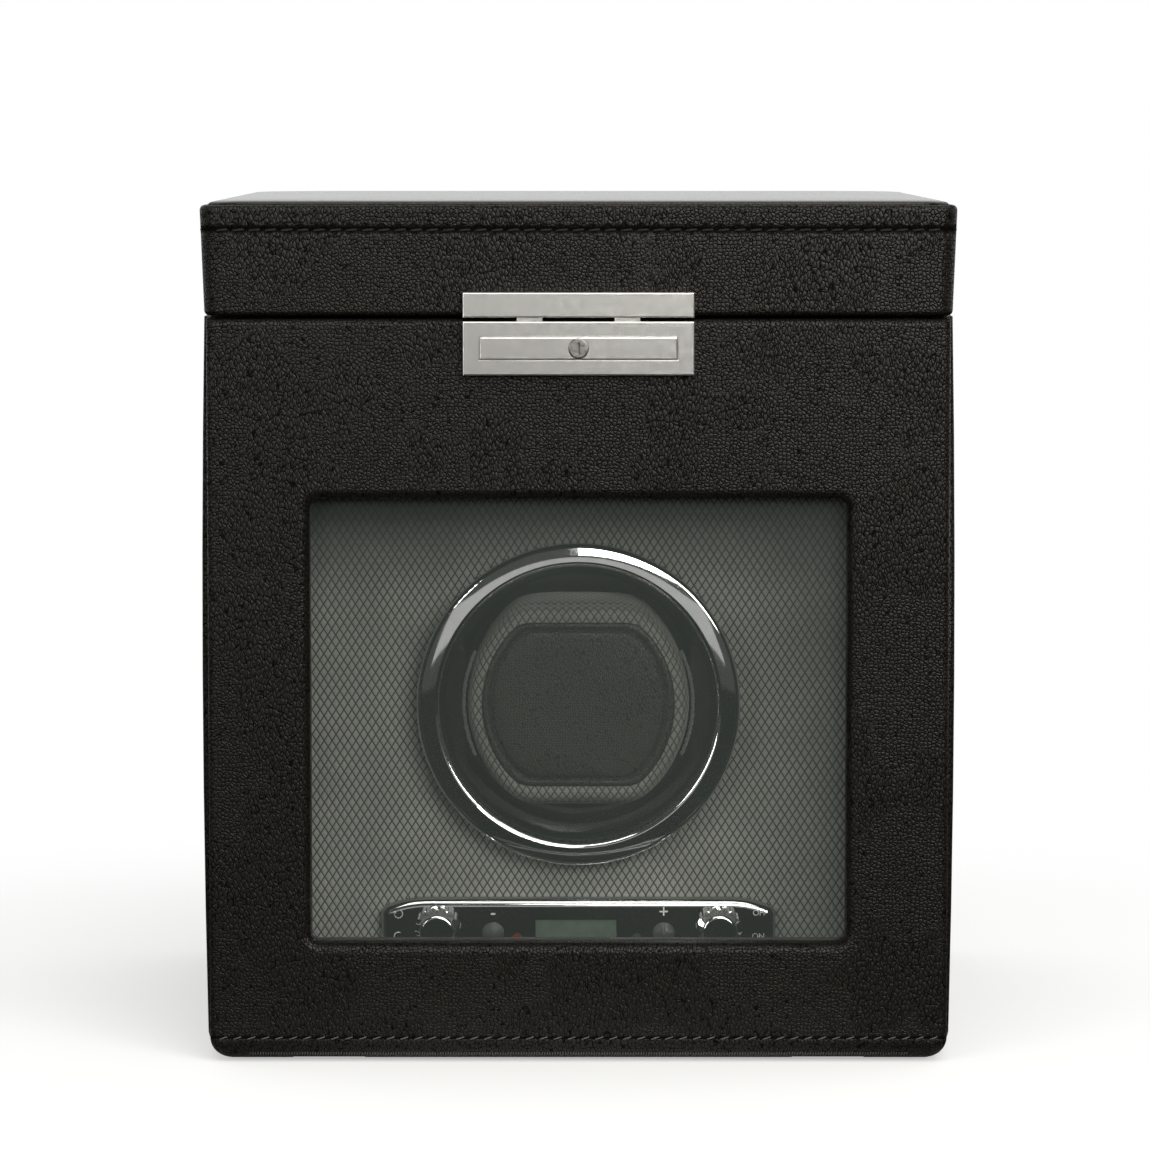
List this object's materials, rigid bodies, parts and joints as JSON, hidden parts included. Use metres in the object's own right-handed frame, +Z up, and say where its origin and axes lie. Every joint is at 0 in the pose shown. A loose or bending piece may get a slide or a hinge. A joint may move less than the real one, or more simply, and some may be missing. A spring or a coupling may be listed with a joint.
{
  "type": "watch winder box",
  "caption": "Leather-covered box with a hinged lid over a storage tray and a glazed drop-down front over a motor-driven drum that turns a watch on a soft cuff.",
  "frame": {"origin": "on the table under the middle of the box, at the middle of its depth from the front face to the back face", "axes": "+X to the right seen from the front, +Y from the glazed front to the back, +Z up"},
  "size_m": [0.2172, 0.218, 0.2485],
  "materials": {
    "leather_black": "black pebble-grain leather, satin",
    "felt_black": "short felt",
    "fascia_fabric": "grey woven fabric with a fine dark diamond mesh",
    "lining_fabric": "brushed grey lining",
    "rail_wood": "plain softwood",
    "chrome": "polished plate",
    "dark_chrome": "polished gunmetal plate",
    "clear_glass": "clear float glass",
    "black_plastic": "fine matt",
    "gloss_black": "gloss moulding",
    "steel": "plain steel",
    "bronze": "sintered bronze",
    "gear_plastic": "natural acetal",
    "board_green": "solder mask",
    "display_green": "unlit liquid-crystal glass",
    "lamp_lens": "tinted clear lens"
  },
  "bodies": {
    "case": {"case_shell": "leather_black", "base_felt": "felt_black", "fascia_board": "fascia_fabric", "lining_left": "lining_fabric", "lining_right": "lining_fabric", "lining_floor": "lining_fabric", "tray_rails": "rail_wood", "storage_tray": "lining_fabric", "cross_divider": "lining_fabric", "bay_dividers": "lining_fabric", "lid_hinge_lower_leaves": "steel", "lid_hinge_pins": "steel", "case_hinge_screws": "steel", "flap_hinge_brackets": "steel", "bezel_ring": "chrome", "drum_bush": "bronze", "bearing_plate": "steel", "plate_posts": "black_plastic", "plate_screws": "steel", "gear_motor": "steel", "control_panel": "dark_chrome", "circuit_board": "board_green", "selector_switches": "black_plastic", "tact_switches": "black_plastic", "display_module": "display_green", "status_lamps": "lamp_lens", "power_jack": "black_plastic", "jack_nut": "steel"},
    "lid": {"lid_shell": "leather_black", "lid_top_pad": "leather_black", "lid_lining": "lining_fabric", "strike_plate": "chrome", "lid_hinge_upper_leaves": "steel", "lid_hinge_screws": "steel"},
    "flap": {"flap_panel": "leather_black", "window_glass": "clear_glass", "glass_bead": "black_plastic", "lock_body": "chrome", "flap_hinge_pins": "steel"},
    "lock_bar": {"lock_button": "chrome"},
    "key_cylinder": {"key_plug": "chrome"},
    "drum": {"drum_cup": "gloss_black", "drum_gear": "gear_plastic", "drum_shaft": "steel", "shaft_clip": "steel"},
    "cuff": {"cuff_pad": "fascia_fabric", "cuff_patch": "leather_black", "cuff_arm_left": "black_plastic", "cuff_arm_right": "black_plastic"},
    "pinion": {"motor_pinion": "bronze"},
    "direction_control": {"direction_knob": "chrome"},
    "power_control": {"power_knob": "chrome"},
    "minus_key": {"minus_button": "gloss_black"},
    "plus_key": {"plus_button": "gloss_black"},
    "pillow_left": {"watch_pillow_left": "fascia_fabric"},
    "pillow_middle": {"watch_pillow_middle": "fascia_fabric"},
    "pillow_right": {"watch_pillow_right": "fascia_fabric"}
  },
  "joints": [
    {"name": "lid_hinge", "type": "hinge", "parent": "case", "child": "lid", "pos_m": [0, 0.1073, 0.2147], "axis": [-1, 0, 0], "range_deg": [0, 95]},
    {"name": "flap_hinge", "type": "hinge", "parent": "case", "child": "flap", "pos_m": [0, -0.1, 0.0068], "axis": [1, 0, 0], "range_deg": [0, 88]},
    {"name": "lock_press", "type": "slide", "parent": "flap", "child": "lock_bar", "axis": [0, 1, 0], "range_m": [0, 0.0015], "stiffness_N_per_m": 900},
    {"name": "key_turn", "type": "hinge", "parent": "lock_bar", "child": "key_cylinder", "pos_m": [0, -0.1083, 0.2059], "axis": [0, 1, 0], "range_deg": [0, 90]},
    {"name": "drum_spin", "type": "hinge", "parent": "case", "child": "drum", "pos_m": [0, 0, 0.0973], "axis": [0, 1, 0], "continuous": true},
    {"name": "motor_spin", "type": "hinge", "parent": "case", "child": "pinion", "pos_m": [0.045, 0, 0.0973], "axis": [0, 1, 0], "continuous": true},
    {"name": "cuff_pull", "type": "slide", "parent": "drum", "child": "cuff", "axis": [0, -1, 0], "range_m": [0, 0.048]},
    {"name": "direction_turn", "type": "hinge", "parent": "case", "child": "direction_control", "pos_m": [-0.042, -0.049, 0.03], "axis": [0, 1, 0], "range_deg": [-45, 45]},
    {"name": "power_turn", "type": "hinge", "parent": "case", "child": "power_control", "pos_m": [0.042, -0.049, 0.03], "axis": [0, 1, 0], "range_deg": [0, 45]},
    {"name": "minus_press", "type": "slide", "parent": "case", "child": "minus_key", "axis": [0, 1, 0], "range_m": [0, 0.0008], "stiffness_N_per_m": 300},
    {"name": "plus_press", "type": "slide", "parent": "case", "child": "plus_key", "axis": [0, 1, 0], "range_m": [0, 0.0008], "stiffness_N_per_m": 300},
    {"name": "pillow_left_lift", "type": "slide", "parent": "case", "child": "pillow_left", "axis": [0, 0, 1], "range_m": [0, 0.034]},
    {"name": "pillow_middle_lift", "type": "slide", "parent": "case", "child": "pillow_middle", "axis": [0, 0, 1], "range_m": [0, 0.034]},
    {"name": "pillow_right_lift", "type": "slide", "parent": "case", "child": "pillow_right", "axis": [0, 0, 1], "range_m": [0, 0.034]}
  ],
  "couplings": [
    {"joint": "motor_spin", "follows": "drum_spin", "ratio": -4}
  ]
}
